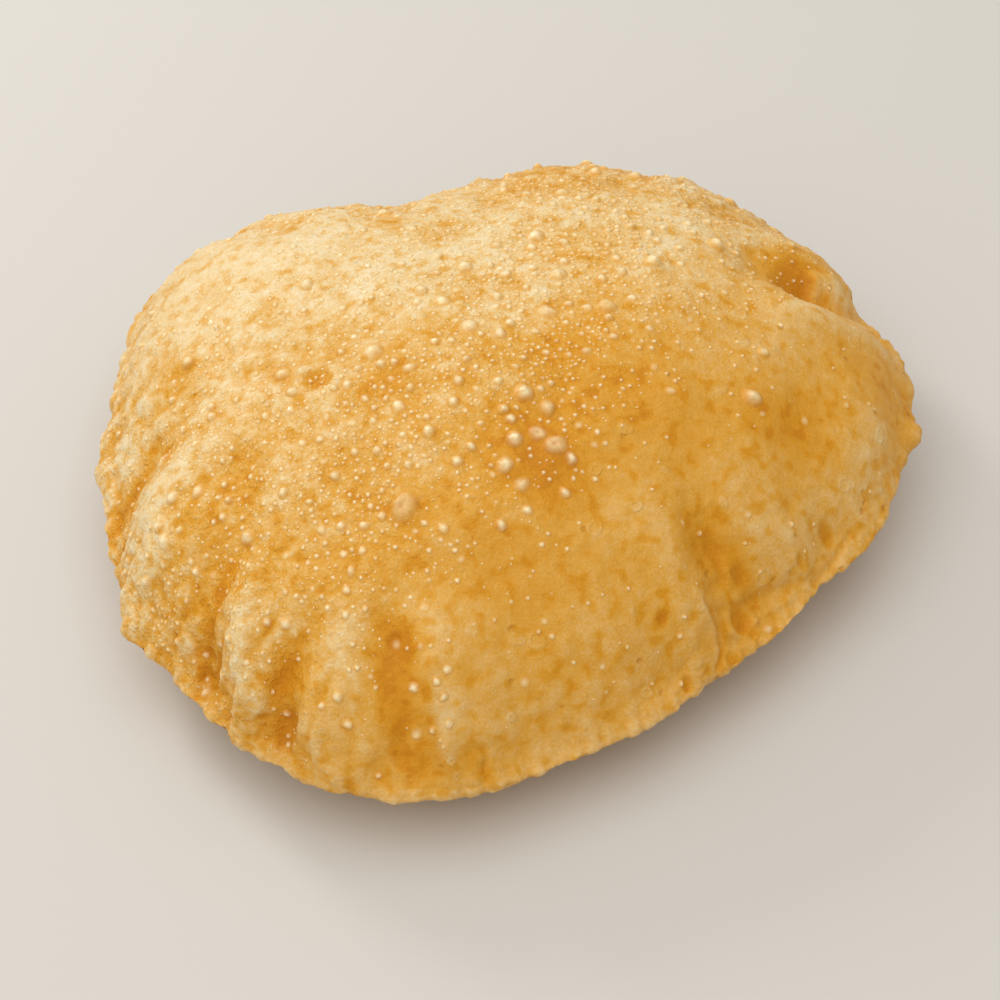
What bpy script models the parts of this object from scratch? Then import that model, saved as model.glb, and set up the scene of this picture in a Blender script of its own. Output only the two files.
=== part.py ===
"""A bhatura: a round of leavened dough that has puffed up in hot oil into one closed pillow.

Two skins meet in a crimped seam round the rim. The upper skin is a dome with dents, folds
and pleats, and the lower skin curves in to the small flat spot that the bread rests on.
Metres, +Z up, origin on the surface it lies on, under the middle of its outline.
"""

import math

import bmesh
import bpy
from mathutils import Vector, noise

# Driving sizes of the pillow. A list that goes round runs anticlockwise from +X in equal steps.
CROWN_HEIGHT = 0.070
RIM_RADII = (
    0.1045, 0.1100, 0.1082, 0.1088, 0.1036, 0.0945, 0.1020, 0.1195, 0.1125,
    0.1078, 0.1086, 0.1063, 0.1055, 0.0992, 0.0896, 0.0840, 0.0857, 0.0942,
)
SEAM_HEIGHTS = (0.024, 0.029, 0.030, 0.028, 0.022, 0.018, 0.018, 0.020)
DOME_FULLNESS = (1.85, 1.95, 2.0, 2.0, 2.0, 1.9, 1.75, 1.75)  # 2 is an ellipse, more is boxier
BELLY_FULLNESS = 2.6
FLAT_SPOT_CUT = 0.0008  # how much of the belly's round bottom is pressed flat

# The seam's lip, and the lobes and notches along it: (degrees round, half width, reach)
LIP_REACH = 0.004
LIP_RISE = 0.09  # how far up and down the skins it fades, as a share of their height
RIM_LOBES = (
    (1.0, 2.2, 0.0022), (11.0, 4.0, 0.0016), (25.0, 4.6, -0.0050), (37.0, 4.0, 0.0014),
    (153.0, 4.0, 0.0015), (166.0, 4.0, -0.0014), (178.0, 4.0, 0.0010), (196.0, 3.6, -0.0015),
    (205.0, 4.0, 0.0022), (215.0, 4.0, -0.0011), (250.0, 5.0, 0.0009), (289.0, 4.0, 0.0012),
    (303.0, 4.0, -0.0020), (311.5, 2.6, -0.0009), (318.0, 3.6, 0.0014), (330.0, 4.0, -0.0014),
    (341.0, 4.0, 0.0013), (355.5, 2.4, -0.0020),
)
FRILL_REACH = 0.0006
FRILL_LENGTH = 0.013
FRILL_SEED = 3.1

# Folds and dents of the upper skin: (from, to, half width, height), where a valley's height
# is below 0. They are named by where they lie, with the front towards -Y.
LEFT_FOLDS = (
    ((-0.091, -0.007), (-0.104, -0.019), 0.0055, -0.0030),
    ((-0.095, 0.002), (-0.079, -0.003), 0.0070, -0.0012),
    ((-0.076, -0.017), (-0.092, -0.025), 0.0060, 0.0018),
    ((-0.067, -0.025), (-0.066, -0.036), 0.0055, -0.0012),
    ((-0.095, -0.037), (-0.101, -0.041), 0.0065, 0.0015),
)
FRONT_LEFT_FOLDS = (
    ((-0.070, -0.045), (-0.074, -0.053), 0.0065, -0.0022),
    ((-0.074, -0.053), (-0.078, -0.064), 0.0065, -0.0030),
    ((-0.078, -0.064), (-0.074, -0.073), 0.0058, -0.0026),
    ((-0.066, -0.058), (-0.067, -0.074), 0.0056, 0.0028),
    ((-0.055, -0.074), (-0.061, -0.085), 0.0052, -0.0028),
    ((-0.050, -0.082), (-0.046, -0.092), 0.0052, 0.0014),
)
FRONT_FOLDS = (
    ((-0.044, -0.074), (-0.042, -0.088), 0.0065, 0.0014),
    ((-0.033, -0.072), (-0.026, -0.093), 0.0058, -0.0024),
    ((-0.021, -0.074), (-0.017, -0.093), 0.0056, 0.0020),
    ((-0.006, -0.062), (0.001, -0.086), 0.0072, -0.0013),
)
FRONT_RIGHT_FOLDS = (
    ((0.043, -0.033), (0.046, -0.048), 0.0075, -0.0016),
    ((0.046, -0.048), (0.056, -0.052), 0.0070, -0.0018),
    ((0.035, -0.053), (0.042, -0.069), 0.0070, 0.0018),
    ((0.048, -0.060), (0.049, -0.073), 0.0050, -0.0020),
    ((0.077, -0.038), (0.080, -0.032), 0.0060, -0.0014),
)
RIGHT_FOLDS = (
    ((0.093, -0.008), (0.088, -0.026), 0.0060, 0.0014),
    ((0.074, -0.012), (0.070, -0.021), 0.0075, -0.0012),
    ((0.103, 0.037), (0.086, 0.034), 0.0066, -0.0042),
    ((0.086, 0.034), (0.068, 0.039), 0.0075, -0.0030),
    ((0.096, 0.024), (0.074, 0.019), 0.0062, 0.0018),
    ((0.090, 0.048), (0.066, 0.051), 0.0062, 0.0016),
)
BACK_FOLDS = (
    ((0.078, 0.073), (0.064, 0.060), 0.0065, -0.0017),
    ((0.043, 0.086), (0.036, 0.070), 0.0060, -0.0014),
    ((-0.010, 0.090), (-0.009, 0.072), 0.0080, 0.0009),
    ((-0.031, 0.086), (-0.027, 0.066), 0.0065, -0.0018),
    ((-0.075, 0.075), (-0.060, 0.061), 0.0070, -0.0024),
)
FOLDS = (
    LEFT_FOLDS + FRONT_LEFT_FOLDS + FRONT_FOLDS + FRONT_RIGHT_FOLDS + RIGHT_FOLDS + BACK_FOLDS
)
FOLD_FADE = 0.004  # a fold dies out over this height above the seam

# Pleats that run in from the seam on both skins, and the skins' slow swells
PLEAT_HEIGHT = 0.0013
PLEAT_LENGTH = 0.014
PLEAT_RUN = 0.022
UPPER_PLEAT_SEED = 7.7
LOWER_PLEAT_SEED = -7.7
SWELLS = ((0.042, 0.0016), (0.017, 0.0006))  # (length, height)

# The mesh: a box of cells that is blown up into the pillow
CELLS_ACROSS = 36
CELLS_UP = 22
CELL_CROWDING = 1.4  # above 1, the rows of cells crowd towards the seam

DOUGH_COLOUR = (0.72, 0.40, 0.12, 1.0)
DOUGH_ROUGHNESS = 0.45


def clear_scene():
    """Takes everything out of the scene."""
    for old in list(bpy.data.objects):
        bpy.data.objects.remove(old, do_unlink=True)


def around(values, angle):
    """The value at an angle, on a smooth closed curve through values in equal steps."""
    place = (angle / math.tau) % 1.0 * len(values)
    first = int(place)
    t = place - first
    a, b, c, d = (values[(first + k - 1) % len(values)] for k in range(4))
    return b + 0.5 * t * (c - a + t * (2 * a - 5 * b + 4 * c - d + t * (3 * (b - c) + d - a)))


def turn_between(angle, other):
    """The angle from one to the other the short way round, in degrees."""
    return abs((angle - other + 180) % 360 - 180)


def round_noise(angle, length, seed):
    """Noise from -1 to 1 round the rim, with bumps of about this length."""
    radius = RIM_RADII[0] / length
    return noise.noise(Vector((radius * math.cos(angle), radius * math.sin(angle), seed)))


def rim_radius(angle):
    """The seam's radius with its lobes, notches and frill."""
    degrees = math.degrees(angle)
    lobes = sum(
        reach * math.exp(-((turn_between(degrees, place) / width) ** 2))
        for place, width, reach in RIM_LOBES
    )
    frill = FRILL_REACH * round_noise(angle, FRILL_LENGTH, FRILL_SEED)
    return around(RIM_RADII, angle) + lobes + frill


def box_of_cells(across, up):
    """A cube whose faces are cut into a grid of cells, as a bmesh."""
    bm = bmesh.new()
    bmesh.ops.create_cube(bm, size=2.0)
    for axis, cells in ((0, across), (1, across), (2, up)):
        others = [k for k in range(3) if k != axis]
        along = [
            edge for edge in bm.edges
            if all(abs(edge.verts[0].co[k] - edge.verts[1].co[k]) < 1e-6 for k in others)
        ]
        bmesh.ops.subdivide_edges(bm, edges=along, cuts=cells - 1, use_grid_fill=True)
    return bm


def pillow_point(direction):
    """Where the point of a unit ball in this direction lies once it is blown up to the pillow."""
    angle = math.atan2(direction.y, direction.x)
    rise = abs(direction.z)
    reach = math.sqrt(max(0.0, 1.0 - rise * rise))
    upper = direction.z > 0
    fullness = around(DOME_FULLNESS, angle) if upper else BELLY_FULLNESS
    seam = around(SEAM_HEIGHTS, angle)
    depth = CROWN_HEIGHT - seam if upper else -seam - FLAT_SPOT_CUT
    radius = (around(RIM_RADII, angle) - LIP_REACH) * reach ** (2 / fullness)
    at_seam = math.exp(-((rise / LIP_RISE) ** 2))
    radius += (LIP_REACH + rim_radius(angle) - around(RIM_RADII, angle)) * at_seam
    height = seam + depth * rise ** (2 / fullness)
    return Vector((radius * math.cos(angle), radius * math.sin(angle), height))


def distance_to_line(point, start, end):
    """How far a plan point is from the line between two others."""
    along = end - start
    share = max(0.0, min(1.0, (point - start).dot(along) / along.length_squared))
    return (point - start - along * share).length


def fold_height(point):
    """How far the folds lift the upper skin at this point."""
    plan = point.to_2d()
    seam = around(SEAM_HEIGHTS, math.atan2(point.y, point.x))
    height = sum(
        lift * math.exp(-((distance_to_line(plan, Vector(start), Vector(end)) / width) ** 2))
        for start, end, width, lift in FOLDS
    )
    return height * max(0.0, min(1.0, (point.z - seam) / FOLD_FADE))


def skin_height(point):
    """How far the pleats and swells lift either skin at this point."""
    angle = math.atan2(point.y, point.x)
    inwards = max(0.0, rim_radius(angle) - point.to_2d().length)
    upper = point.z > around(SEAM_HEIGHTS, angle)
    seed = UPPER_PLEAT_SEED if upper else LOWER_PLEAT_SEED
    pleat = PLEAT_HEIGHT * round_noise(angle, PLEAT_LENGTH, seed)
    pleat *= math.exp(-((inwards / PLEAT_RUN) ** 2)) * min(1.0, inwards / LIP_REACH)
    return pleat + sum(height * noise.noise(point / length) for length, height in SWELLS)


def shape_bread(bm):
    """Blows the box of cells up, presses the folds in and flattens the spot it rests on."""
    for vert in bm.verts:
        x, y, z = vert.co
        z = math.copysign(abs(z) ** CELL_CROWDING, z)
        vert.co = pillow_point(Vector((x, y, z)).normalized())
    bm.normal_update()
    for vert in bm.verts:
        lift = skin_height(vert.co)
        if vert.normal.z > 0:
            lift += fold_height(vert.co)
        vert.co = vert.co + vert.normal * lift
    across = [vert.co.x for vert in bm.verts]
    along = [vert.co.y for vert in bm.verts]
    middle = Vector((min(across) + max(across), min(along) + max(along), 0.0)) / 2
    for vert in bm.verts:
        vert.co -= middle
        vert.co.z = max(0.0, vert.co.z)


def fried_dough():
    """The crust's plain material."""
    material = bpy.data.materials.new("fried_dough")
    material.use_nodes = True
    shader = material.node_tree.nodes["Principled BSDF"]
    shader.inputs["Base Color"].default_value = DOUGH_COLOUR
    shader.inputs["Roughness"].default_value = DOUGH_ROUGHNESS
    shader.inputs["Metallic"].default_value = 0.0
    return material


def build():
    """Makes the bread in a collection of its own."""
    clear_scene()
    collection = bpy.data.collections.new("bhatura")
    bpy.context.scene.collection.children.link(collection)
    bm = box_of_cells(CELLS_ACROSS, CELLS_UP)
    shape_bread(bm)
    mesh = bpy.data.meshes.new("bhatura")
    bm.to_mesh(mesh)
    bm.free()
    mesh.shade_smooth()
    mesh.materials.append(fried_dough())
    bhatura = bpy.data.objects.new("bhatura", mesh)
    collection.objects.link(bhatura)


build()
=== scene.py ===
"""The looks of a bhatura: its fried crust, the blisters that rose on it, and a studio to see it in.

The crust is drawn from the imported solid, made finer, and given the low relief that the oil
raised in it. Blisters of several sizes stand on it as meshes of their own. Metres, +Z up, in the
solid's own frame: the front, with the pleated edge, looks towards -Y.
"""

from __future__ import annotations

import logging
import math
import random
from dataclasses import dataclass, field
from enum import Enum
from itertools import product
from typing import Any, Iterable, Sequence

import bpy
import numpy as np
from mathutils import Matrix, Vector, noise
from mathutils.bvhtree import BVHTree


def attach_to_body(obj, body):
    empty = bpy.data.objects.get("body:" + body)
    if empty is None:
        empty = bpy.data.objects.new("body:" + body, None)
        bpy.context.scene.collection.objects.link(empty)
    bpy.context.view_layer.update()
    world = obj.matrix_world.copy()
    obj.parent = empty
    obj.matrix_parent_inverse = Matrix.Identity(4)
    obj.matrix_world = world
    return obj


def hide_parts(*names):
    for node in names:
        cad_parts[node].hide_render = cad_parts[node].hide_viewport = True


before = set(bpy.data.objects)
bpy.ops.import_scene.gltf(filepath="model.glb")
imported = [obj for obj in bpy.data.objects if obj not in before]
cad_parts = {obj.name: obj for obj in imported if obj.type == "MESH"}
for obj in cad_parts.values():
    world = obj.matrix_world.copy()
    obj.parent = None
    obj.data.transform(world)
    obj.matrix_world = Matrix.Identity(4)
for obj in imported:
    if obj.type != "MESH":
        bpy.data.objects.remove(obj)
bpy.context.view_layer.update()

log = logging.getLogger("bhatura")

MM = 0.001
NODE = "bhatura"
SLOT = "fried_dough"
BODY = "root"

UPPER_SKIN = 0.020  # patches of colour lie on skin higher than this
FREE_SKIN = 0.012  # dents and wrinkles lie on skin higher than this

Colour = tuple[float, float, float, float]
Graded = tuple[float, float]  # a weight on smooth crust, and what full grain adds to it


class BlisterShape(Enum):
    """The forms that a blister takes as it cools: how high each is, and how steep."""

    BEAD = (0.56, 1.55)  # nearly half a ball
    CAP = (0.38, 1.9)  # lower, with a soft rim
    PITTED = (0.50, 1.6)  # a cap whose middle fell in
    FLUSH = (0.12, 1.2)  # hardly raised, a pale disc in the crust

    def __init__(self, height: float, steep: float) -> None:
        """Keeps the height, as a share of the radius, and how steeply the sides fall."""
        self.height = height
        self.steep = steep


BEAD, CAP, PITTED, FLUSH = BlisterShape


class Wire:
    """A socket that gives a value in a material, with sums on it written as Python."""

    def __init__(self, board: Board, socket: bpy.types.NodeSocket) -> None:
        """Holds an output socket of a board."""
        self.board = board
        self.socket = socket

    def _sum(self, operation: str, *values: Any) -> Wire:
        """The output of a Math node on these values or wires."""
        return self.board.node("ShaderNodeMath", {"operation": operation}, dict(enumerate(values)))

    def __add__(self, other: Any) -> Wire:
        """self + other"""
        return self._sum("ADD", self, other)

    __radd__ = __add__

    def __sub__(self, other: Any) -> Wire:
        """self - other"""
        return self._sum("SUBTRACT", self, other)

    def __rsub__(self, other: Any) -> Wire:
        """other - self"""
        return self._sum("SUBTRACT", other, self)

    def __mul__(self, other: Any) -> Wire:
        """self * other"""
        return self._sum("MULTIPLY", self, other)

    __rmul__ = __mul__

    def __abs__(self) -> Wire:
        """abs(self)"""
        return self._sum("ABSOLUTE", self)

    def clamped(self) -> Wire:
        """The value, kept between 0 and 1."""
        return self.board.node("ShaderNodeClamp", {}, {"Value": self}, 0)


class Board:
    """A material's nodes, with its Principled shader."""

    def __init__(self, name: str) -> None:
        """Makes a new material.

        Args:
            name: The material's name.
        """
        self.material = bpy.data.materials.new(name)
        self.material.use_nodes = True
        self.tree = self.material.node_tree
        self.shader = self.tree.nodes["Principled BSDF"]

    def node(self, kind: str, settings: dict[str, Any], inputs: dict[Any, Any], out: Any = 0) -> Wire:
        """Adds a node of any type.

        Args:
            kind: The node's type.
            settings: Its properties, set first.
            inputs: Values or wires by the socket's identifier, name or number.
            out: The identifier, name or number of the output wanted.

        Returns:
            That output.
        """
        made = self.tree.nodes.new(kind)
        for key, value in settings.items():
            setattr(made, key, value)
        for key, value in inputs.items():
            self._feed(self._find(made.inputs, key), value)
        return Wire(self, self._find(made.outputs, out))

    @staticmethod
    def _find(sockets: Any, key: Any) -> bpy.types.NodeSocket:
        """The socket of this number, identifier or name."""
        same = [] if isinstance(key, int) else [each for each in sockets if each.identifier == key]
        return same[0] if same else sockets[key]

    def _feed(self, socket: bpy.types.NodeSocket, value: Any) -> None:
        """Gives a socket its value.

        Args:
            socket: The input socket.
            value: A wire to link, or a constant.
        """
        if isinstance(value, Wire):
            self.tree.links.new(value.socket, socket)
        else:
            socket.default_value = value

    def shade(self, inputs: dict[str, Any]) -> None:
        """Sets the shader's sockets, given values or wires by the socket's name."""
        for key, value in inputs.items():
            self._feed(self.shader.inputs[key], value)

    def painted(self, name: str) -> Wire:
        """The value of a painted attribute of the mesh."""
        return self.node("ShaderNodeAttribute", {"attribute_name": name}, {}, "Fac")

    def mix(self, share: Any, first: Any, second: Any) -> Wire:
        """The first colour or wire, mixed with this share of the second."""
        inputs = {"Factor_Float": share, "A_Color": first, "B_Color": second}
        return self.node("ShaderNodeMix", {"data_type": "RGBA"}, inputs, "Result_Color")

    def ramp(self, value: Wire, stops: Sequence[tuple[float, Colour]]) -> Wire:
        """Turns a value into a colour.

        Args:
            value: The value, from 0 to 1.
            stops: The places and colours, in order.

        Returns:
            The colour.
        """
        made = self.node("ShaderNodeValToRGB", {}, {0: value}, "Color")
        elements = made.socket.node.color_ramp.elements
        while len(elements) < len(stops):
            elements.new(1.0)
        for element, (place, colour) in zip(elements, stops):
            element.position = place
            element.color = colour
        return made

    def step(self, value: Wire, low: float, high: float) -> Wire:
        """Rises smoothly from 0 at one value to 1 at another.

        Args:
            value: The value to read.
            low: Where it starts to rise.
            high: Where it is 1. Below low, it falls instead.

        Returns:
            The share, from 0 to 1.
        """
        inputs = {"Value": value, 1: min(low, high), 2: max(low, high)}
        rising = self.node("ShaderNodeMapRange", {"interpolation_type": "SMOOTHSTEP"}, inputs)
        return rising if low < high else 1 - rising

    def cloud(self, place: Wire, length: float, detail: float, roughness: float = 0.5) -> Wire:
        """Soft noise from 0 to 1, whose lumps have this length in metres."""
        inputs = {"Vector": place, "Scale": 1 / length, "Detail": detail, "Roughness": roughness}
        return self.node("ShaderNodeTexNoise", {}, inputs, "Fac")

    def scatter(self, place: Wire, length: float) -> tuple[Wire, Wire, Wire]:
        """Scatters middles about.

        Args:
            place: The coordinates, in metres.
            length: How far apart the middles lie, in metres.

        Returns:
            The distance to the nearest, over that length, and two random numbers from 0 to 1 for it.
        """
        inputs = {"Vector": place, "Scale": 1 / length}
        away = self.node("ShaderNodeTexVoronoi", {}, inputs, "Distance")
        colour = {0: Wire(self, away.socket.node.outputs["Color"])}
        return away, *(self.node("ShaderNodeSeparateColor", {}, colour, part) for part in (0, 1))

    def warped(self, place: Wire, scale: float, reach: float) -> Wire:
        """The place, pushed about a little, so that round marks come out uneven.

        Args:
            place: The coordinates.
            scale: How quickly the push changes, in waves a metre.
            reach: How far it pushes, in metres.

        Returns:
            The coordinates to draw marks with.
        """
        push = self.node("ShaderNodeTexNoise", {}, {"Vector": place, "Scale": scale}, "Color")
        inputs = {0: push, 1: (reach, reach, reach), 2: place}
        return self.node("ShaderNodeVectorMath", {"operation": "MULTIPLY_ADD"}, inputs, "Vector")


@dataclass(frozen=True)
class Patch:
    """A round patch of the upper skin, in millimetres in plan."""

    x: float
    y: float
    radius: float
    strength: float

    def at(self, point: Vector) -> float:
        """How strong the patch is at a point, from its middle's strength down to 0."""
        away = math.hypot(point.x / MM - self.x, point.y / MM - self.y) / self.radius
        return self.strength * math.exp(-away * away) if point.z > UPPER_SKIN else 0.0


def patches(*rows: tuple[float, float, float, float]) -> tuple[Patch, ...]:
    """Patches, each given as its x, y, radius and strength."""
    return tuple(Patch(*row) for row in rows)


@dataclass(frozen=True)
class Frying:
    """What the oil did to the crust: where it browned, stayed pale, grained and blistered, with painted
    sheen and painted highlights laid in as paler patches.
    """

    browned: tuple[Patch, ...] = patches(
        (9, -35, 11, 1.1), (-5, -29, 8, 0.4), (28, -15, 13, 0.5), (14, -4, 9, 0.4), (-46, -7, 4.5, 0.7),
        (-28, -12, 9, 0.5), (-86, 10, 8, 0.6), (-88, -6, 8, 0.2), (-79, -36, 12, 0.6),
        (-72, -50, 9, 0.4), (-75, -62, 10, 0.3), (-25, -49, 9, 0.4), (6, -20, 34, 0.12),
        (0, -62, 24, 0.20), (40, 0, 26, 0.16), (-19, 5, 9, 0.5), (-6, -12, 10, 0.2), (40, -24, 10, 0.3),
        (56, -28, 12, 0.15), (14, -74, 14, 0.2), (-52, -68, 8, 0.25), (-45, -86, 7, 0.3),
        (-27, -95, 3, 0.5), (-12, -95, 2.5, 0.5), (-44, -58, 8, 0.3), (-29, -74, 5, 0.9),
        (14, 76, 18, 0.5), (-18, 44, 7, 0.5), (-29, 51, 5, 0.7), (-60, 22, 5, 0.6), (77, 37, 8, 1.0),
        (82, 44, 8, 0.7), (-95, -12, 5, 0.6), (-101, -15, 5, 0.5), (74, -17, 11, 0.6), (61, -17, 8, 0.4),
        (97, 4, 14, 0.6), (45, -60, 16, 0.3), (-22, -90, 12, 0.5), (47, -48, 7, 0.5), (54, -51, 4, 0.7),
        (-56, -80, 8, 0.6), (-32, -84, 6, 0.6), (20, 32, 12, 0.4), (-6, -58, 12, 0.3),
        (54.5, -59.3, 2.6, 0.9), (51.6, -67.3, 2, 0.7), (78, -36, 2, 0.7), (34, -66, 1.5, 0.8),
        (39.7, -74.5, 1.5, 0.7), (70.3, -44.7, 1.5, 0.6),
    )
    # pale dough and painted sheen: the back, the top-left and some raised ridges are painted paler where
    # the window light shines off them
    paled_and_sheen: tuple[Patch, ...] = patches(
        (-76, 44, 30, 0.7), (-38, 34, 30, 0.55), (0, 42, 34, 0.5), (-10, 14, 18, 0.1),
        (-14, 62, 14, 0.35), (-66, -4, 14, 0.25), (44, 44, 28, 0.4), (-90, -18, 9, 0.4),
        (-94, -36, 9, 0.6), (-98, -48, 8, 0.4), (-84, -20, 10, 0.3), (-100, -2, 14, 0.4),
        (-17.5, -89, 5, 0.45), (89, 38, 5, 0.25), (83.4, 36, 2, 0.3),
    )
    blistered: tuple[Patch, ...] = patches(
        (0, -8, 40, 0.75), (-30, -40, 26, 0.4), (30, 36, 42, 0.8), (-60, -10, 24, 0.25),
    )
    blistered_least: float = 0.14
    calm: Patch = Patch(-84, 46, 34, 0.5)  # where the grain is finer
    smooth_from: tuple[float, float] = (-17.0, -95.0)  # a point on the edge of the smooth side
    smooth_turn: float = 0.82  # radians from +X to that edge's run
    smooth_run: float = 62.0

    def grain_at(self, point: Vector) -> float:
        """How grainy the crust is.

        Args:
            point: A point on the crust, in metres.

        Returns:
            From 0, smooth, to 1.
        """
        aside = Vector((-math.sin(self.smooth_turn), math.cos(self.smooth_turn)))
        start = Vector(self.smooth_from)
        share = (point.to_2d() / MM - start).dot(aside) / self.smooth_run
        share = max(0.0, min(1.0, share))
        return share * share * (3 - 2 * share) * (1 - self.calm.at(point))

    def brown_at(self, point: Vector) -> float:
        """How browned the crust is, from about -1, pale, by way of 0, gold, to about 1; the pale side
        holds painted sheen as well as pale dough.
        """
        brown = min(1.2, sum(patch.at(point) for patch in self.browned))
        return brown - min(1.0, sum(patch.at(point) for patch in self.paled_and_sheen))

    def blisters_at(self, point: Vector) -> float:
        """How crowded with blisters the crust is, from 0 to 1."""
        crowd = sum(patch.at(point) for patch in self.blistered)
        return self.blistered_least + (1 - self.blistered_least) * min(1.0, crowd)


@dataclass(frozen=True)
class GrainLayer:
    """Small round bumps of about one size, scattered through the crust."""

    spacing: float  # metres from one to the next
    bare: float  # the share of places without one
    least: float  # the smallest radius, as a share of the spacing
    most: float  # the largest
    height: float  # of one whose radius is nearly the spacing, as a share of it


@dataclass(frozen=True)
class CrustFinish:
    """The fried crust's material, on the crust and its blisters alike."""

    tones: tuple[tuple[float, Colour], ...] = (  # from pale dough to deep brown
        (0.00, (0.81, 0.655, 0.400, 1.0)),
        (0.18, (0.78, 0.555, 0.255, 1.0)),
        (0.36, (0.74, 0.442, 0.135, 1.0)),
        (0.56, (0.70, 0.350, 0.048, 1.0)),
        (0.80, (0.65, 0.274, 0.010, 1.0)),
        (1.00, (0.58, 0.216, 0.005, 1.0)),
    )
    dome: Colour = (0.95, 0.785, 0.450, 1.0)
    pinhole: Colour = (0.62, 0.240, 0.010, 1.0)
    roughness: float = 0.52
    specular: float = 0.18
    coats: tuple[float, float, float] = (0.18, 0.10, 0.90)  # on grains, wrinkles and domes
    coat_roughness: float = 0.16
    gold: float = 0.52  # the tone of skin that is neither browned nor pale
    browning: float = 0.47  # what each mark adds to the tone, or takes from it
    mottling: Graded = (0.34, 0.34)
    spotting: Graded = (0.36, 0.06)
    # painted shade and highlight: the tone goes browner in the wrinkles' creases and paler on their
    # raised tops
    crease_shading: float = 0.34
    crease_shade_share: Graded = (0.15, 0.85)
    sanding: float = 0.35
    flecking: float = 0.17
    ring_paling: float = 0.08
    # pale tops of the grain bumps: part pale skin, part painted glint
    top_pale_and_glint: Graded = (0.05, 0.24)
    # painted shade: a browner ring round the foot of each grain bump
    foot_browning: float = 0.6
    warp: tuple[float, float] = (420.0, 0.0005)  # waves a metre, and how far they push
    bend: tuple[float, float] = (260.0, 0.0024)
    grains: tuple[GrainLayer, ...] = (
        GrainLayer(0.0013, 0.20, 0.22, 0.60, 0.50),
        GrainLayer(0.0026, 0.60, 0.20, 0.50, 0.45),
    )
    wrinkle_size: float = 0.0014
    wrinkle_height: float = 0.00042
    wrinkle_mean: float = 0.42
    wrinkle_share: Graded = (0.15, 0.40)
    bead_share: Graded = (0.20, 0.80)
    sand_size: float = 0.0006
    sand_height: float = 0.00008
    curd_size: float = 0.0042
    curd_height: float = 0.00045
    dome_wrinkle: float = 0.00014
    pore_spacing: float = 0.0060
    pore_radius: float = 0.00110
    pore_depth: float = 0.00030
    pore_bare: float = 0.50
    mottle_size: float = 0.013
    spot_size: float = 0.0034
    fleck_size: float = 0.0034
    ring_spacing: float = 0.0080
    ring_height: float = 0.00014

    def build(self) -> bpy.types.Material:
        """Makes the material.

        Returns:
            The material.
        """
        board = Board(SLOT)
        place = board.node("ShaderNodeTexCoord", {}, {}, "Object")
        grain, brown, dome, shell = map(board.painted, ("grain", "brown", "dome", "shell"))
        warped = board.warped(place, *self.warp)
        bent = board.warped(place, *self.bend)
        tops, beads = self._grains(warped)
        lumps = board.cloud(warped, 1.15 * self.wrinkle_size, 2.0)
        wrinkle = 0.4 * abs((board.cloud(place, self.wrinkle_size, 1.0, 0.6) - 0.5) * 4)
        wrinkle = wrinkle + 1.5 * (lumps - 0.35).clamped()
        sand = board.cloud(place, self.sand_size, 1.0)
        curd = board.cloud(place, self.curd_size, 2.0, 0.55)
        pore = self._pores(bent) * (1 - 0.85 * grain) * (1 - dome)
        mottle = board.cloud(place, self.mottle_size, 3.0, 0.6)
        spots = board.cloud(place, self.spot_size, 2.0, 0.6)
        fleck = board.step(board.cloud(place, self.fleck_size, 0.5, 0.4), 0.55, 0.75)
        ring = self._rings(bent) * (1 - grain) * (1 - dome)

        def graded(weight: Graded) -> Wire:
            """A weight that changes with the grain."""
            return weight[0] + weight[1] * grain

        tone = self.gold + self.browning * brown + graded(self.mottling) * (mottle - 0.5)
        tone = tone + graded(self.spotting) * (spots - 0.5)
        rough = (board.step(mottle, 0.46, 0.60) + 0.5 * brown).clamped() * grain
        # painted shade in the wrinkles' creases and painted highlight on their raised tops
        tone = tone - self.crease_shading * (wrinkle - self.wrinkle_mean) * graded(self.crease_shade_share)
        tone = tone + self.sanding * (sand - 0.5) + self.flecking * fleck
        tone = tone - self.ring_paling * ring - 0.08 - 0.03 * grain
        # pale tops of the grain bumps: pale skin with a painted glint
        tone = tone - tops * tops * graded(self.top_pale_and_glint)
        # painted shade: a browner ring round each grain bump's foot
        tone = tone + self.foot_browning * tops * (1 - tops) * grain
        colour = board.ramp(tone.clamped(), self.tones)
        # the domes' pale thin skin, paler still on their raised wrinkles as a painted glint
        dome_and_glint = (dome * (0.75 + 0.40 * board.step(wrinkle, 0.1, 0.5))).clamped()
        colour = board.mix(dome_and_glint, colour, self.dome)
        colour = board.mix(pore * 0.7, colour, self.pinhole)
        height = beads * graded(self.bead_share) + curd * self.curd_height
        creases = graded(self.wrinkle_share) + 0.60 * rough
        height = height + wrinkle * self.wrinkle_height * creases
        height = (height + sand * self.sand_height) * (1 - 0.75 * shell)
        height = height + wrinkle * dome * self.dome_wrinkle - pore * self.pore_depth
        height = height + ring * self.ring_height
        on_tops, on_wrinkles, on_domes = self.coats
        coat = on_tops * tops * grain + on_wrinkles * wrinkle * grain + on_domes * dome
        bump = board.node(
            "ShaderNodeBump", {}, {"Strength": 1.0, "Distance": 1.0, "Height": height}, "Normal"
        )
        board.shade({
            "Base Color": colour,
            "Roughness": self.roughness + 0.12 * (mottle - 0.5) - 0.10 * dome,
            "Normal": bump,
            "Specular IOR Level": self.specular,
            "Coat Weight": coat.clamped(),
            "Coat Roughness": self.coat_roughness,
        })
        return board.material

    def _rings(self, place: Wire) -> Wire:
        """Faint rings, the rims of blisters that sank back.

        Args:
            place: The warped coordinates.

        Returns:
            1 on a ring and 0 away from it.
        """
        board = place.board
        away, chance, size = board.scatter(place, self.ring_spacing)
        away = away - (0.10 + 0.16 * size)
        disc = 0.5 * board.step(away, 0.04, -0.04) + board.step(abs(away), 0.09, 0.01)
        return disc * board.step(chance, 0.35, 0.6)

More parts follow.
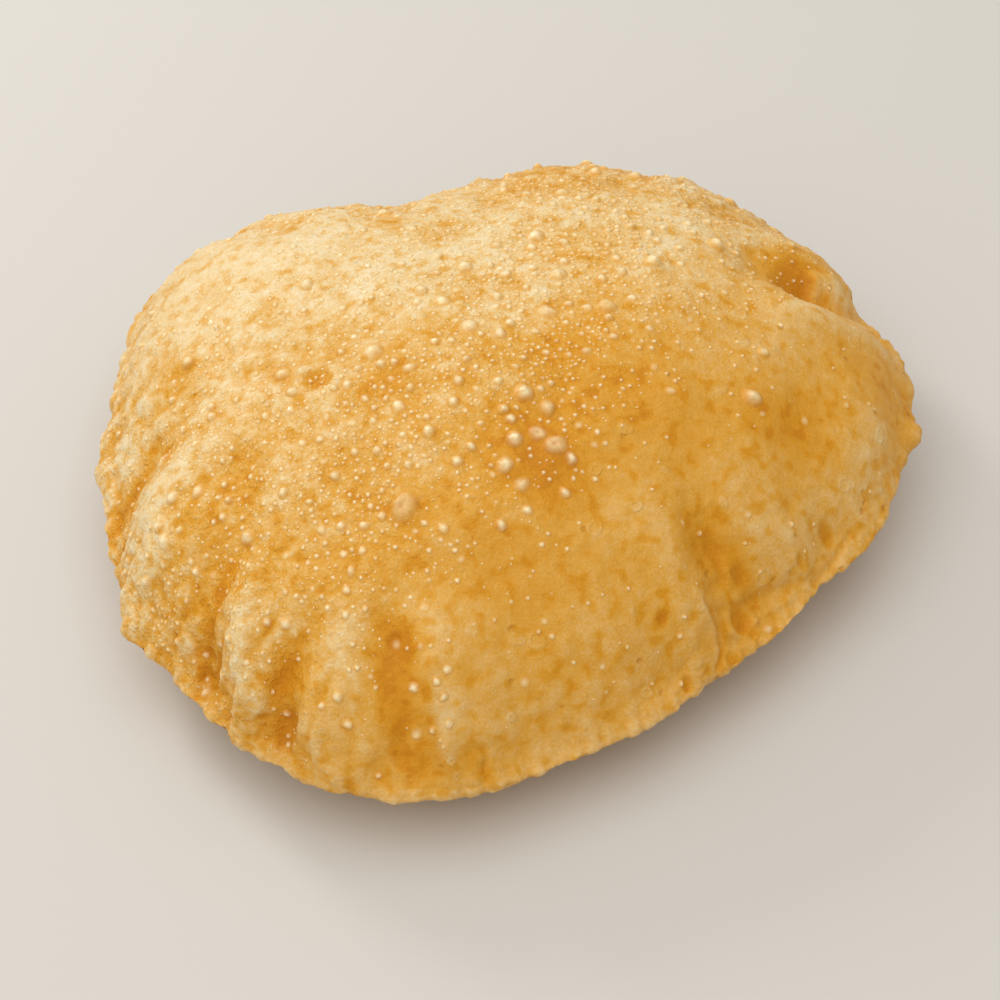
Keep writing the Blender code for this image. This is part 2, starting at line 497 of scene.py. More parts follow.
    def _grains(self, place: Wire) -> tuple[Wire, Wire]:
        """The small round bumps that make the crust grainy.

        Args:
            place: The warped coordinates.

        Returns:
            How near a bump's top a point is, from 0 to 1, and the height in metres.
        """
        board = place.board
        tops: list[Wire] = []
        heights: list[Wire] = []
        for layer in self.grains:
            away, chance, size = board.scatter(place, layer.spacing)
            radius = layer.least + (layer.most - layer.least) * size
            limits = {"Value": away, 1: radius, 2: 0.0}
            top = board.node("ShaderNodeMapRange", {"interpolation_type": "SMOOTHSTEP"}, limits)
            top = top * board.step(chance, layer.bare, layer.bare + 0.25)
            tops.append(top)
            heights.append(top * radius * (radius + 0.08) * (layer.spacing * layer.height))
        return (tops[0] + tops[1]).clamped(), heights[0] + heights[1]

    def _pores(self, place: Wire) -> Wire:
        """Round soft pinholes, scattered.

        Args:
            place: The warped coordinates.

        Returns:
            1 in a pinhole's middle and 0 away from it.
        """
        board = place.board
        reach = self.pore_radius / self.pore_spacing
        away, chance, _ = board.scatter(place, self.pore_spacing)
        spot = board.step(away, reach, 0.25 * reach)
        return spot * board.step(chance, self.pore_bare, self.pore_bare + 0.3)


def new_object(name: str, data: bpy.types.ID) -> bpy.types.Object:
    """Adds an object that shows a mesh, a lamp or a camera.

    Args:
        name: Its name.
        data: What it shows.

    Returns:
        The object.
    """
    made = bpy.data.objects.new(name, data)
    bpy.context.scene.collection.objects.link(made)
    return made


def paint(mesh: bpy.types.Mesh, **layers: Sequence[float]) -> None:
    """Paints attributes on a mesh, with one value for each vertex."""
    for name, values in layers.items():
        mesh.attributes.new(name, "FLOAT", "POINT").data.foreach_set("value", values)


def attach(piece: bpy.types.Object, finish: bpy.types.Material) -> None:
    """Dresses a finished piece and lets it ride on the bread's body.

    Args:
        piece: The piece, at the origin, with its place in its mesh.
        finish: Its material.
    """
    piece.data.materials.clear()
    piece.data.materials.append(finish)
    piece.data.shade_smooth()
    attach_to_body(piece, BODY)
    triangles = sum(len(face.vertices) - 2 for face in piece.data.polygons)
    log.info("%s: %d triangles", piece.name, triangles)


@dataclass(frozen=True)
class Dent:
    """A round hollow with a raised rim, in millimetres in plan; a height below 0 sinks."""

    x: float
    y: float
    radius: float
    height: float
    rim: float = 0.0

    def at(self, point: Vector) -> float:
        """How far it lifts the skin at a point, in metres."""
        if point.z < FREE_SKIN:
            return 0.0
        away = math.hypot(point.x / MM - self.x, point.y / MM - self.y) / self.radius
        if away > 3:
            return 0.0
        bowl = self.height * math.exp(-(away ** 3) * 1.4)
        return (bowl + self.rim * math.exp(-(((away - 1.15) / 0.35) ** 2))) * MM


class Rim:
    """The line of the seam, read from the crust's own outline."""

    def __init__(self, points: np.ndarray, steps: int = 180) -> None:
        """Reads the outline.

        Args:
            points: The crust's points, one a row.
            steps: How many directions are read.
        """
        self.steps = steps
        turn = np.arctan2(points[:, 1], points[:, 0]) / math.tau % 1.0
        slot = (turn * steps).astype(int) % steps
        self.reach = np.zeros(steps)
        np.maximum.at(self.reach, slot, np.hypot(points[:, 0], points[:, 1]))

    def inwards(self, point: Vector) -> float:
        """How far a point lies inside the outline, seen from above, in metres."""
        place = math.atan2(point.y, point.x) / math.tau % 1.0 * self.steps - 0.5
        first = math.floor(place)
        share = place - first
        reach = self.reach[first % self.steps] * (1 - share)
        reach += self.reach[(first + 1) % self.steps] * share
        return max(0.0, reach - math.hypot(point.x, point.y))


def creased(point: Vector, size: float) -> float:
    """Round lumps with sharp creases between them, from 0 in a crease to about 1."""
    return min(1.0, 2.2 * abs(noise.noise(point / size)))


@dataclass(frozen=True)
class Wrinkle:
    """A short line that is pressed in or raised, through points in millimetres in plan."""

    points: tuple[tuple[float, float], ...]
    half_width: float
    height: float

    def at(self, point: Vector) -> float:
        """How far it lifts the skin at a point, in metres."""
        if point.z < FREE_SKIN:
            return 0.0
        place = point.to_2d() / MM
        if (place - Vector(self.points[0])).length > 30:
            return 0.0
        away = min(self._away(place, a, b) for a, b in zip(self.points, self.points[1:]))
        return self.height * MM * math.exp(-((away / self.half_width) ** 2))

    @staticmethod
    def _away(place: Vector, start: Sequence[float], end: Sequence[float]) -> float:
        """The distance from a place to a straight piece of line."""
        offset, run = place - Vector(start), Vector(end) - Vector(start)
        return (offset - run * max(0.0, min(1.0, offset.dot(run) / run.length_squared))).length


@dataclass(frozen=True)
class Surface:
    """The crust as rays and blisters meet it."""

    tree: BVHTree
    faces: list[tuple[int, ...]]
    browns: np.ndarray  # how browned each point is, with its painted crease shade, ridge highlight and sheen
    rim: Rim

    def brown_at(self, point: Vector) -> float:
        """How browned the crust is next to a point, with its painted shade, highlight and sheen."""
        face = self.tree.find_nearest(point)[2]
        return float(self.browns[self.faces[face][0]])


@dataclass
class Crust:
    """The bread's whole skin."""

    levels: int = 2
    merge: float = 1e-5
    under: float = -0.55  # faces whose normals point lower than this are thinned
    under_kept: float = 0.22  # the share of the underside's faces that stays
    fine_run: float = 0.0065  # how far in from the seam the skin is finer still
    flat: float = 0.0004  # what lies lower than this is the flat spot
    lump_size: float = 0.018
    lump_height: float = 0.0005
    curd_size: float = 0.0062
    curd_height: float = 0.00045
    knuckle_size: float = 0.0085
    knuckle_height: float = 0.0013
    knuckle_run: float = 0.024
    knuckles_end: float = 2.5  # how far in they go, in runs
    girth: float = 0.1  # the seam's mean radius
    pleat_length: float = 0.3  # how slowly the pleats change on their way inwards
    frill_size: float = 0.0052
    frill_height: float = 0.0013
    crumb_size: float = 0.0022
    crumb_height: float = 0.0005
    frill_run: float = 0.0040
    frill_share: float = 0.55
    # these measure the creases and ridges, which the paint makes browner as painted shade and paler as
    # painted highlight
    hollow_rounds: tuple[int, int] = (12, 150)
    hollow_depths: tuple[float, float] = (0.00022, 0.0012)
    hollow_shares: tuple[float, float] = (0.28, 0.34)
    palest: float = -0.60
    dents: tuple[Dent, ...] = tuple(
        Dent(*row)
        for row in (
            (-46.4, -6.6, 4.0, -1.1, 0.45), (-50.0, -2.6, 1.7, 0.8), (-25.6, -46.0, 1.8, -0.5, 0.2),
            (54.5, -59.3, 3.0, -1.3, 0.3), (51.6, -67.3, 2.0, -0.9, 0.2), (78.0, -35.9, 2.2, -0.9, 0.2),
            (34.0, -66.0, 1.4, -0.9, 0.1), (39.7, -74.5, 1.5, -0.8, 0.1), (10.2, -60.6, 1.2, -0.5, 0.15),
            (70.3, -44.7, 1.2, -0.6, 0.15), (51.7, 15.3, 1.2, -0.3, 0.2), (47.5, -48.0, 2.4, -0.8),
            (54.3, -50.9, 2.2, -0.7), (-29.5, -74.0, 2.0, -0.8, 0.3), (77.5, 33.0, 5.5, -1.6),
            (88.5, 39.0, 5.0, 2.0), (107.0, 0.0, 3.2, 1.6), (-56.0, -83.0, 3.4, -1.2),
            (-61.0, -77.5, 3.0, 1.0), (-50.0, -87.0, 3.6, 1.2), (-29.5, -92.5, 2.6, -0.9, 0.3),
            (-54.0, -86.0, 2.2, 0.8), (-49.0, -89.5, 2.2, 0.8), (-18.7, -93.6, 2.4, 0.9),
            (-18.5, -85.8, 2.6, 0.5), (-26.0, -93.8, 1.9, 0.7), (-19.9, -85.8, 0.9, -0.5, 0.35),
        )
    )
    wrinkles: tuple[Wrinkle, ...] = (
        Wrinkle(((45.3, -60.5), (48.4, -62.6), (49.0, -66.0), (47.5, -70.0)), 0.7, -0.8),
        Wrinkle(((43.5, -60.0), (46.6, -63.5), (47.0, -66.5)), 0.9, 0.5),
        Wrinkle(((48.6, -59.3), (53.5, -56.5), (58.6, -53.2), (68.1, -48.6)), 0.7, -0.55),
        Wrinkle(((50.0, -61.8), (55.5, -58.6), (60.0, -55.4), (68.6, -50.4)), 0.9, 0.45),
        Wrinkle(((50.9, -62.0), (55.0, -61.4), (57.8, -57.4)), 0.8, 0.8),
        Wrinkle(((49.3, -50.0), (49.3, -54.0), (46.0, -57.5)), 1.2, -0.6),
        Wrinkle(((73.0, -47.0), (79.0, -41.5), (84.5, -34.0)), 0.8, -0.5),
        Wrinkle(((-20.6, -80.2), (-18.4, -90.3), (-17.5, -96.0)), 1.3, 0.8),
        Wrinkle(((-10.6, -93.0), (-9.4, -94.4), (-9.9, -95.6)), 0.7, -0.7),
        Wrinkle(((83.4, 39.5), (83.2, 36.0), (82.8, 32.5)), 1.2, 1.5),
        Wrinkle(((81.6, 39.5), (81.3, 36.0), (80.9, 32.0)), 1.2, -0.9),
        Wrinkle(((-90.0, -6.0), (-94.5, -12.1), (-101.7, -14.8)), 2.2, -0.9),
        Wrinkle(((-101.2, -27.0), (-94.8, -21.0)), 1.2, -0.7),
        Wrinkle(((-98.5, -36.0), (-93.1, -31.5)), 1.2, -0.7),
        Wrinkle(((-67.1, -58.4), (-66.0, -66.0), (-66.3, -71.7), (-68.3, -76.3)), 1.8, 0.9),
        Wrinkle(((-73.6, -51.3), (-71.8, -61.2), (-73.1, -67.5)), 3.2, 0.9),
    )
    piece: bpy.types.Object = field(init=False)
    rim: Rim = field(init=False)

    def build(self, frying: Frying, finish: bpy.types.Material) -> None:
        """Makes the crust from a copy of the solid.

        Args:
            frying: Where it is browned and grained.
            finish: Its material.
        """
        bpy.ops.object.select_all(action="DESELECT")
        self.piece = new_object("crust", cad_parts[NODE].data.copy())
        self.piece.select_set(True)
        bpy.context.view_layer.objects.active = self.piece
        bpy.ops.mesh.customdata_custom_splitnormals_clear()
        bpy.ops.object.mode_set(mode="EDIT")
        bpy.ops.mesh.select_all(action="SELECT")
        bpy.ops.mesh.remove_doubles(threshold=self.merge)
        bpy.ops.mesh.tris_convert_to_quads()
        bpy.ops.object.mode_set(mode="OBJECT")
        finer = self.piece.modifiers.new("finer", "SUBSURF")
        finer.levels = self.levels
        bpy.ops.object.modifier_apply(modifier=finer.name)
        self._thin_underside()
        self.rim = Rim(self._points())
        self._refine_seam()
        self._raise_relief(frying)
        self._paint(frying)
        attach(self.piece, finish)
        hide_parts(NODE)

    def _thin_underside(self) -> None:
        """Takes out most of the underside's faces, which nothing small stands on."""
        below = self.piece.vertex_groups.new(name="below")
        vertices = self.piece.data.vertices
        chosen = [vertex.index for vertex in vertices if vertex.normal.z < self.under]
        below.add(chosen, 1.0, "ADD")
        thin = self.piece.modifiers.new("thin", "DECIMATE")
        thin.vertex_group = below.name
        thin.ratio = 1 - len(chosen) / len(vertices) * (1 - self.under_kept)
        bpy.ops.object.modifier_apply(modifier=thin.name)
        self.piece.vertex_groups.clear()

    def _refine_seam(self) -> None:
        """Splits the faces by the seam once more, for its frill."""
        mesh = self.piece.data
        near = [
            self.rim.inwards(vertex.co) < self.fine_run and vertex.normal.z > self.under
            for vertex in mesh.vertices
        ]
        bpy.ops.object.mode_set(mode="EDIT")
        bpy.ops.mesh.select_all(action="DESELECT")
        bpy.ops.object.mode_set(mode="OBJECT")
        for face in mesh.polygons:
            face.select = all(near[index] for index in face.vertices)
        bpy.ops.object.mode_set(mode="EDIT")
        bpy.ops.mesh.subdivide(number_cuts=1, smoothness=0.0)
        bpy.ops.object.mode_set(mode="OBJECT")

    def _points(self) -> np.ndarray:
        """The crust's points, one a row."""
        points = np.zeros(len(self.piece.data.vertices) * 3)
        self.piece.data.vertices.foreach_get("co", points)
        return points.reshape(-1, 3)

    def _raise_relief(self, frying: Frying) -> None:
        """Moves the skin along its normals by its lumps, curds, knuckles, dents and frill.

        Args:
            frying: Where it is grained.
        """
        mesh = self.piece.data
        normals = [vertex.normal.copy() for vertex in mesh.vertices]
        for vertex, normal in zip(mesh.vertices, normals):
            point = vertex.co.copy()
            if point.z < self.flat:
                continue
            grain = frying.grain_at(point)
            lift = self.lump_height * noise.noise(point / self.lump_size)
            curd = noise.noise(point / self.curd_size) + 0.5 * creased(point, 0.55 * self.curd_size)
            lift += self.curd_height * curd * (0.55 + 0.45 * grain)
            lift += self._knuckles(point, grain)
            lift += sum(dent.at(point) for dent in self.dents)
            lift += sum(wrinkle.at(point) for wrinkle in self.wrinkles)
            vertex.co = point + normal * lift

    def _knuckles(self, point: Vector, grain: float) -> float:
        """How far the small pleats by the seam, and the seam's own frill, lift the skin.

        Args:
            point: A point of the skin.
            grain: How grainy it is there.

        Returns:
            The lift, in metres.
        """
        inwards = self.rim.inwards(point)
        if inwards > self.knuckle_run * self.knuckles_end:
            return 0.0
        angle = math.atan2(point.y, point.x)
        way = Vector((math.cos(angle), math.sin(angle), inwards / self.pleat_length)) * self.girth
        lift = self.knuckle_height * (creased(way, self.knuckle_size) - 0.4)
        lift += 0.6 * self.knuckle_height * (creased(point, 0.8 * self.knuckle_size) - 0.4)
        lift *= (0.4 + 0.6 * grain) * math.exp(-((inwards / self.knuckle_run) ** 2))
        frill = self.frill_height * (creased(way, self.frill_size) - 0.35)
        frill += self.crumb_height * (creased(point, self.crumb_size) - 0.35)
        return lift + self.frill_share * frill * math.exp(-((inwards / self.frill_run) ** 2))

    def _hollows(self) -> np.ndarray:
        """How hollow the skin is at each point, from about -1, a ridge, to 1, a crease."""
        mesh = self.piece.data
        points = self._points()
        normals = np.zeros(points.size)
        mesh.vertices.foreach_get("normal", normals)
        ends = np.zeros(len(mesh.edges) * 2, dtype=np.int32)
        mesh.edges.foreach_get("vertices", ends)
        here, there = ends.reshape(-1, 2).T
        both, others = np.concatenate((here, there)), np.concatenate((there, here))
        neighbours = np.bincount(both, minlength=len(points))
        eased = points.copy()
        hollow = np.zeros(len(points))
        done = 0
        for rounds, depth, share in zip(self.hollow_rounds, self.hollow_depths, self.hollow_shares):
            for _ in range(rounds - done):
                for axis in range(3):
                    total = np.bincount(both, weights=eased[others, axis], minlength=len(points))
                    eased[:, axis] = 0.5 * (eased[:, axis] + total / neighbours)
            done = rounds
            sunk = ((eased - points) * normals.reshape(-1, 3)).sum(1)
            hollow += share * np.clip((sunk - np.median(sunk)) / depth, -1, 1)
        return hollow

    def _paint(self, frying: Frying) -> None:
        """Paints the crust's grain and browning, with painted shade in its creases, painted highlight on
        its ridges and painted sheen.

        Args:
            frying: Where they are.
        """
        points = [vertex.co for vertex in self.piece.data.vertices]
        grain = np.array([frying.grain_at(point) for point in points])
        brown = np.array([frying.brown_at(point) for point in points])
        # painted shade and highlight: creases are painted browner and ridges paler
        brown = np.maximum(brown + self._hollows() * (0.45 + 0.55 * grain), self.palest)
        none = [0.0] * len(points)
        paint(self.piece.data, grain=grain, brown=brown, dome=none, shell=none)

    def surface(self) -> Surface:
        """The finished crust, for blisters to stand on."""
        mesh = self.piece.data
        points = [vertex.co for vertex in mesh.vertices]
        faces = [tuple(face.vertices) for face in mesh.polygons]
        browns = np.zeros(len(points))
        mesh.attributes["brown"].data.foreach_get("value", browns)
        return Surface(BVHTree.FromPolygons(points, faces), faces, browns, self.rim)


@dataclass(frozen=True)
class Blister:
    """One blister: where it stands, how wide it is and its form."""

    place: Vector
    normal: Vector
    radius: float
    shape: BlisterShape
    height: float  # as a share of the radius
    pale: float  # how pale its skin is
    turn: float  # radians, which way it is stretched
    stretch: float  # its longest radius over its mean one

    def uneven(self, spot: Vector) -> Vector:
        """A point of the round unit blister, moved to this one's uneven outline."""
        angle = math.atan2(spot.y, spot.x)
        bulge = 1 + 0.24 * noise.noise(Vector((math.cos(angle), math.sin(angle), self.turn * 9)))
        along = Vector((math.cos(self.turn), math.sin(self.turn)))
        flat = spot.to_2d() * bulge
        share = flat.dot(along)
        flat += along * share * (self.stretch - 1)
        return flat.to_3d()

    def laid(self, spot: Vector, reach: float, crust: Surface) -> Vector:
        """Lays a point of the unit blister on the crust.

        Args:
            spot: The point.
            reach: Its distance from the middle.
            crust: The crust.

        Returns:
            Its place.
        """
        spot = self.uneven(spot)
        turn = self.normal.to_track_quat("Z", "Y")
        flat = turn @ spot * self.radius
        base = crust.tree.find_nearest(self.place + flat)[0]
        lumpy = 1 + 0.35 * noise.noise(Vector((spot.x, spot.y, self.turn * 7)) * 1.6)
        return base + self.normal * self._profile(reach) * self.radius * lumpy

    def _profile(self, reach: float) -> float:
        """The height over the crust at a distance from the middle, both as shares of the radius.

        Args:
            reach: The distance.

        Returns:
            The height. At the rim it is sunk a little way into the crust.
        """
        height = self.height * max(0.0, 1 - reach * reach) ** self.shape.steep
        if self.shape is PITTED:
            height -= 0.20 * math.exp(-((reach / 0.26) ** 2))
        return height - 0.06 * reach ** 6

    def dome(self, reach: float) -> float:
        """How much of its pale, thin skin shows at this distance from its middle."""
        pale = self.pale * math.exp(-((reach / 0.50) ** 2))
        if self.shape is PITTED:
            pale *= min(1.0, 0.25 + reach * 1.3)
        if self.shape is FLUSH:
            pale *= 0.6
        return pale


@dataclass(frozen=True)
class NamedBlister:
    """A blister that stands out in the bread's look, in millimetres in plan."""

    x: float
    y: float
    radius: float
    shape: BlisterShape


MAIN_BLISTERS = tuple(
    NamedBlister(*row)
    for row in (
        (-32.3, -1.1, 2.6, CAP), (-27.1, -5.8, 1.2, BEAD), (-8.3, 3.4, 2.2, CAP), (11.0, 7.3, 2.4, CAP),
        (26.3, 8.7, 2.3, PITTED), (-11.5, -14.9, 1.5, BEAD), (4.2, -18.8, 2.3, BEAD),
        (9.6, -22.6, 2.0, BEAD), (-0.8, -23.5, 1.4, BEAD), (0.7, -26.0, 1.2, BEAD),
        (-13.0, -21.2, 1.5, BEAD), (-26.3, -19.7, 1.8, CAP), (7.0, -29.5, 2.0, PITTED),
        (1.4, -31.4, 2.0, BEAD), (10.9, -32.7, 2.5, PITTED), (14.5, -35.7, 1.5, BEAD),
        (-12.6, -36.6, 1.5, BEAD), (-1.3, -38.0, 2.0, CAP), (2.2, -42.5, 2.0, CAP),
        (-25.6, -45.9, 3.2, PITTED), (-3.0, -52.3, 1.4, BEAD), (3.3, -48.7, 1.4, CAP),
        (-35.3, -48.8, 1.3, BEAD), (-14.8, 14.2, 2.0, CAP), (14.8, 21.8, 2.0, BEAD),
        (-1.0, 13.8, 1.5, BEAD), (60.6, -13.5, 2.3, BEAD), (64.9, 0.2, 1.5, BEAD),
        (12.5, -43.6, 1.3, BEAD), (25.9, 19.8, 1.4, BEAD), (-76.7, -29.1, 1.8, CAP),
        (-86.9, -34.0, 1.6, BEAD), (-85.5, -38.1, 2.0, CAP), (-83.6, -27.8, 1.7, CAP),
        (-54.8, -67.4, 1.5, CAP), (-39.9, -63.0, 1.2, CAP), (-19.8, -84.2, 1.1, BEAD),
        (-18.4, -87.0, 1.2, BEAD), (-21.5, -90.6, 1.1, BEAD), (-17.6, -91.0, 1.2, CAP),
        (-25.2, -83.4, 1.4, CAP), (-17.2, -82.0, 1.2, CAP), (-41.2, -88.6, 1.2, BEAD),
        (-43.2, -84.4, 1.4, CAP),
    )
)


@dataclass
class BlisterField:
    """The blisters of one size, joined in one mesh."""

    name: str
    count: int
    smallest: float
    largest: float
    segments: int
    rings: int
    seed: int
    skirt: float = 1.3  # the radius with its soft skirt, over the radius that shows
    thin_out: float = 0.12  # how dense they are on the smooth side, as a share
    bare_rim: float = 0.0022  # how far from the seam the first ones stand
    lowest: float = 0.002  # how far over the ground they do
    # painted shade: a browner ring round each blister's foot
    foot_browning: float = 0.35
    tries: int = 40  # for each blister wanted
    usual_away: float = 0.11  # how far the eye mostly is from the crust
    clump_size: float = 0.014
    named: Sequence[NamedBlister] = ()
    eye: tuple[float, float, float] = (0.0, 0.0, 0.030)  # where they are cast from
    piece: bpy.types.Object = field(init=False)

    def build(self, crust: Surface, frying: Frying, finish: bpy.types.Material, taken: Crowd) -> None:
        """Places the blisters and makes their mesh.

        Args:
            crust: The crust.
            frying: Where it is browned and grained.
            finish: The material.
            taken: Where blisters stand already.
        """
        blisters = self._main(crust, taken)
        blisters += self._scattered(crust, frying, taken)
        shape = self._one_blister()
        points: list[Vector] = []
        faces: list[tuple[int, ...]] = []
        domes: list[float] = []
        foot_shades: list[float] = []
        for blister in blisters:
            start = len(points)
            for spot in shape[0]:
                reach = min(1.0, spot.to_2d().length)
                points.append(blister.laid(spot, reach, crust))
                domes.append(blister.dome(reach))
                foot_shades.append(self.foot_browning * math.exp(-(((reach - 0.72) / 0.22) ** 2)))
            faces += [tuple(start + k for k in face) for face in shape[1]]
        mesh = bpy.data.meshes.new(self.name)
        mesh.from_pydata(points, [], faces)
        self.piece = new_object(self.name, mesh)
        grain = [frying.grain_at(point) for point in points]
        # the painted shade ring at each blister's foot browns the tone, less where the crust is brown
        # already
        browns = zip(map(crust.brown_at, points), foot_shades)
        browns = [brown + more * max(0.0, min(1.0, 0.8 - brown)) for brown, more in browns]
        paint(mesh, grain=grain, brown=browns, shell=[1.0] * len(points), dome=domes)
        attach(self.piece, finish)

    def _one_blister(self) -> tuple[list[Vector], list[tuple[int, ...]]]:
        """Models one blister's round cap of faces, one unit in radius.

        Returns:
            Its points and its faces.
        """
        bpy.ops.object.select_all(action="DESELECT")
        bpy.ops.mesh.primitive_uv_sphere_add(
            segments=self.segments, ring_count=2 * self.rings, radius=1.0, location=(0, 0, 0)
        )
        ball = bpy.context.object
        bpy.ops.object.mode_set(mode="EDIT")
        bpy.ops.mesh.select_all(action="SELECT")
        bpy.ops.mesh.bisect(plane_co=(0, 0, 0.001), plane_no=(0, 0, 1), clear_inner=True)
        bpy.ops.object.mode_set(mode="OBJECT")
        mesh = ball.data
        order = sorted(range(len(mesh.vertices)), key=lambda index: tuple(mesh.vertices[index].co))
        points = [mesh.vertices[index].co.copy() for index in order]
        faces = [[order.index(index) for index in face.vertices] for face in mesh.polygons]
        lows = [face.index(min(face)) for face in faces]  # the cut leaves them in any order
        faces = sorted(tuple(face[low:] + face[:low]) for face, low in zip(faces, lows))
        bpy.data.objects.remove(ball)
        bpy.data.meshes.remove(mesh)
        return points, faces

    def _main(self, crust: Surface, taken: Crowd) -> list[Blister]:
        """Stands the named blisters on the upper skin.

        Args:
            crust: The crust.
            taken: Where blisters stand, which gains these.

        Returns:
            The blisters.
        """
        draw = random.Random(self.seed + 100)
        made = []
        for main in self.named:
            above = Vector((main.x * MM, main.y * MM, 0.2))
            place, normal, _, _ = crust.tree.ray_cast(above, Vector((0, 0, -1)))
            radius = main.radius * self.skirt * MM
            taken.add(place, radius)
            made.append(self._blister(place, normal, radius, main.shape, draw))
        return made

    def _blister(
        self, place: Vector, normal: Vector, radius: float, shape: BlisterShape, draw: random.Random
    ) -> Blister:
        """One blister, with its own chance unevenness.

        Args:
            place: Its middle.
            normal: The crust's normal there.
            radius: Its radius.
            shape: Its form.
            draw: The seeded draw.

        Returns:
            The blister.
        """
        height = shape.height * draw.uniform(0.8, 1.15)
        pale = draw.uniform(0.65, 1.0)
        return Blister(
            place, normal, radius, shape, height, pale, draw.uniform(0, math.pi), draw.uniform(1.0, 1.22)
        )

    def _scattered(self, crust: Surface, frying: Frying, taken: Crowd) -> list[Blister]:
        """Scatters blisters over the whole crust, denser where it is grained.

        Args:
            crust: The crust.
            frying: Where it is grained.
            taken: Where blisters stand, which gains these.

        Returns:
            The blisters.
        """
        draw = random.Random(self.seed)
        made: list[Blister] = []
        tries = 0
        while len(made) < self.count and tries < self.count * self.tries:
            tries += 1
            towards = Vector((draw.gauss(0, 1), draw.gauss(0, 1), draw.gauss(0, 1))).normalized()
            chance, size, pick = draw.random(), draw.random(), draw.random()
            place, normal, _, away = crust.tree.ray_cast(Vector(self.eye), towards)
            if place is None or place.z < self.lowest or crust.rim.inwards(place) < self.bare_rim:
                continue
            spread = (away / self.usual_away) ** 2 / max(0.25, abs(normal.dot(towards)))
            grain = frying.grain_at(place)
            clump = 0.25 + 1.3 * max(0.0, 0.45 + noise.noise(place / self.clump_size))
            wanted = (self.thin_out + (1 - self.thin_out) * grain) * clump * spread
            wanted *= frying.blisters_at(place)
            if normal.z < -0.2:
                wanted *= 0.4
            radius = self.smallest + (self.largest - self.smallest) * size ** 3
            if chance * 1.6 > wanted or not taken.free(place, radius):
                continue
            taken.add(place, radius)
            shape = BEAD if pick < 0.5 else CAP
            if pick > 0.85 or (grain < 0.35 and radius > 0.0011):
                shape = FLUSH
            made.append(self._blister(place, normal, radius, shape, draw))
        return made


class Crowd:
    """Where blisters stand, kept in boxes so that a crowded place is soon found."""

    overlap: float = 0.92  # how near two may stand, as a share of their radii together

    def __init__(self, size: float) -> None:
        """Starts with none, and with boxes at least as wide as two of the largest blisters."""
        self.size = size
        self.boxes: dict[tuple[int, ...], list[tuple[Vector, float]]] = {}

    def _box(self, place: Vector) -> tuple[int, ...]:
        """The box that a place is in."""
        return tuple(math.floor(value / self.size) for value in place)

    def add(self, place: Vector, radius: float) -> None:
        """Takes the place of a blister of this radius."""
        self.boxes.setdefault(self._box(place), []).append((place.copy(), radius))

    def _near(self, place: Vector) -> Iterable[tuple[Vector, float]]:
        """The blisters in this place's box and those round it."""
        x, y, z = self._box(place)
        for i, j, k in product((-1, 0, 1), repeat=3):
            yield from self.boxes.get((x + i, y + j, z + k), ())

    def free(self, place: Vector, radius: float) -> bool:
        """Whether a blister of this radius would hardly touch any other."""
        near = self._near(place)
        return all((place - other).length > self.overlap * (radius + wide) for other, wide in near)


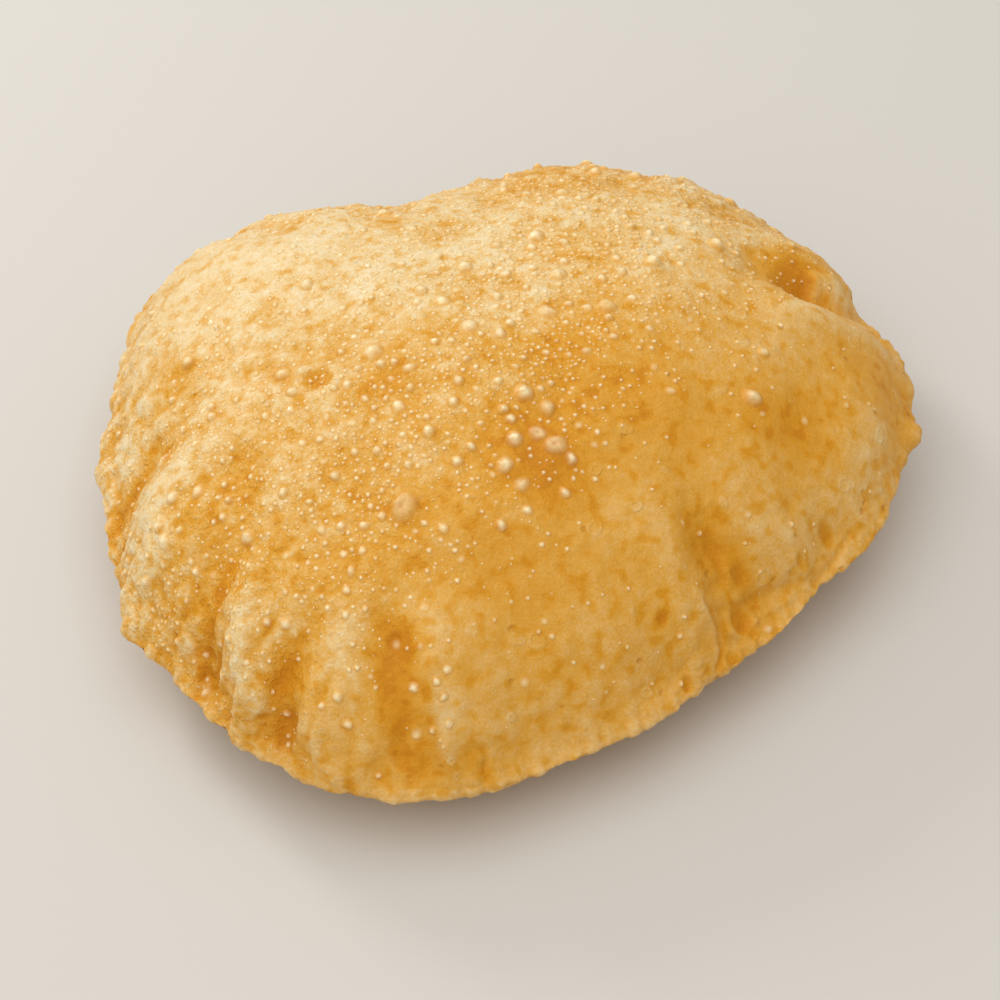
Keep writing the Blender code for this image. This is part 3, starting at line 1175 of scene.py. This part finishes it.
@dataclass
class Studio:
    """The pale floor, the soft lights and the camera."""

    floor_side: float = 6.0
    camera_place: tuple[float, float, float] = (-0.00295, -0.3764, 0.4505)
    camera_down: float = 49.7  # degrees below the horizon
    camera_roll: float = 3.1  # degrees clockwise
    field_of_view: float = 26.0  # degrees
    sensor_width: float = 36.0  # millimetres
    floor_colour: Colour = (0.62, 0.59, 0.545, 1.0)
    air_colour: Colour = (1.0, 0.985, 0.97, 1.0)
    air_strength: float = 0.515
    looked_at: tuple[float, float, float] = (0, 0, 0.03)

    def build(self) -> None:
        """Makes them all."""
        self._floor()
        self._camera()
        self._air()
        self._lamp("window", (-0.62, 0.76, 0.60), 0.26, 3.4, (1.0, 0.99, 0.97))
        self._lamp("sky", (-0.10, 0.0, 1.5), 2.0, 15.0, (1.0, 0.99, 0.97))
        self._lamp("fill", (-0.6, -0.9, 0.7), 1.2, 2.6, (1.0, 0.98, 0.95))

    def _floor(self) -> None:
        """Lays the floor under the bread."""
        bpy.ops.object.select_all(action="DESELECT")
        bpy.ops.mesh.primitive_plane_add(size=self.floor_side, location=(0, 0, 0))
        floor = bpy.context.object
        floor.name = "floor"
        board = Board("pale_floor")
        board.shade({"Base Color": self.floor_colour, "Roughness": 0.7})
        floor.data.materials.append(board.material)

    def _camera(self) -> None:
        """Stands the camera where the bread was seen from."""
        data = bpy.data.cameras.new("camera")
        data.sensor_width = self.sensor_width
        data.lens = data.sensor_width / 2 / math.tan(math.radians(self.field_of_view) / 2)
        data.clip_start = 0.01
        camera = new_object("camera", data)
        tilt = Matrix.Rotation(math.radians(90 - self.camera_down), 3, "X")
        roll = Matrix.Rotation(math.radians(-self.camera_roll), 3, "Z")
        camera.location = self.camera_place
        camera.rotation_euler = (tilt @ roll).to_euler()
        bpy.context.scene.camera = camera

    def _air(self) -> None:
        """Fills the room with soft, even light."""
        world = bpy.data.worlds.new("room")
        world.use_nodes = True
        back = world.node_tree.nodes["Background"]
        back.inputs["Color"].default_value = self.air_colour
        back.inputs["Strength"].default_value = self.air_strength
        bpy.context.scene.world = world
        bpy.context.scene.view_settings.view_transform = "Standard"

    def _lamp(
        self, name: str, place: Sequence[float], size: float, power: float, colour: Sequence[float]
    ) -> None:
        """Hangs a soft square lamp that looks at the bread.

        Args:
            name: The lamp's name.
            place: Where it hangs, in metres.
            size: Its side, in metres.
            power: Its power, in watts.
            colour: Its colour.
        """
        data = bpy.data.lights.new(name, "AREA")
        data.size = size
        data.energy = power
        data.color = colour
        lamp = new_object(name, data)
        lamp.location = place
        towards = Vector(self.looked_at) - Vector(place)
        lamp.rotation_euler = towards.to_track_quat("-Z", "Y").to_euler()


def write_sizes() -> None:
    """Updates the view layer.
    """
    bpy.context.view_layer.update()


def main() -> None:
    """Builds the bread and the studio."""
    logging.basicConfig(level=logging.INFO, format="%(name)s %(message)s")
    frying = Frying()
    finish = CrustFinish().build()
    crust = Crust()
    crust.build(frying, finish)
    surface = crust.surface()
    crowd = Crowd(8 * MM)
    fields = (
        BlisterField("large_blisters", 80, 1.7 * MM, 2.9 * MM, 20, 8, 11, named=MAIN_BLISTERS),
        BlisterField("middle_blisters", 1500, 0.75 * MM, 1.7 * MM, 10, 4, 12),
        BlisterField("small_blisters", 3800, 0.40 * MM, 0.85 * MM, 8, 3, 13, thin_out=0.05),
    )
    for blisters in fields:
        blisters.build(surface, frying, finish, crowd)
    Studio().build()
    write_sizes()


if __name__ == "__main__":
    main()
